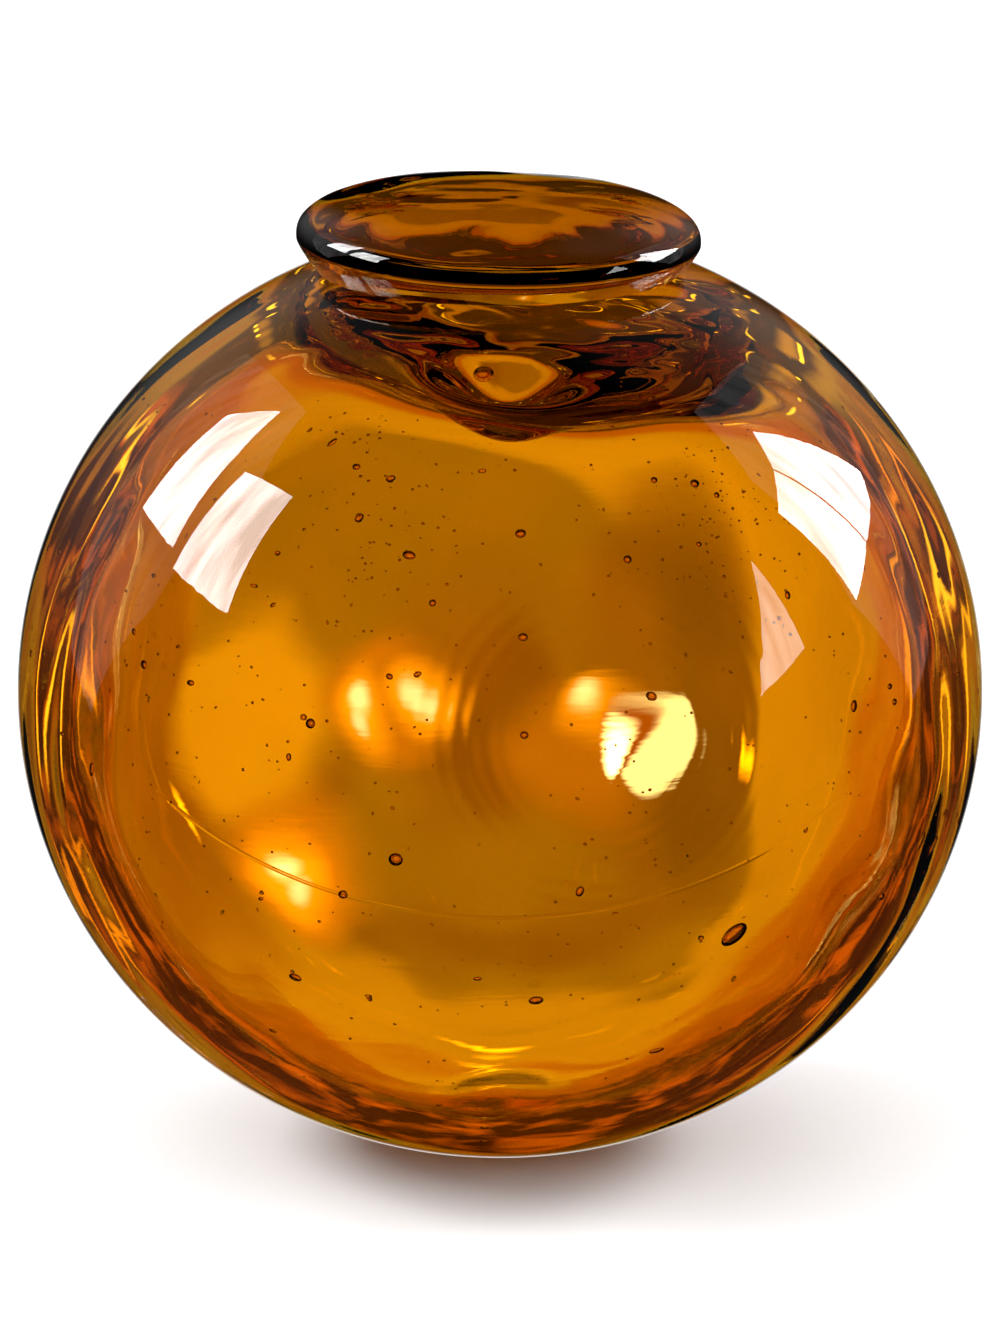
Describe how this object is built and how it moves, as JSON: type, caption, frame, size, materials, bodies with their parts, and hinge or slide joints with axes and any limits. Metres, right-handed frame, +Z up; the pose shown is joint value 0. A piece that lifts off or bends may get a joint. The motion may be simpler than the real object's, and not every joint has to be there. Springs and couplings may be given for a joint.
{
  "type": "glass float ball",
  "caption": "Hand-blown amber glass fishing float: a slightly flattened hollow ball sealed at the top with a thick lens-shaped glass button.",
  "frame": {"origin": "centre of the small flat spot under the ball's bottom pole, on the surface that the float stands on", "axes": "+Z up through the seal button, -Y towards the viewer, +X to the viewer's right"},
  "size_m": [0.08, 0.08, 0.0804],
  "materials": {
    "ball_glass": "fire-polished clear amber soda-lime glass with small air seeds",
    "seal_glass": "fire-polished clear amber soda-lime glass, darker where it is thick"
  },
  "bodies": {
    "root": {"glass_ball": "ball_glass", "seal_button": "seal_glass"}
  },
  "joints": []
}
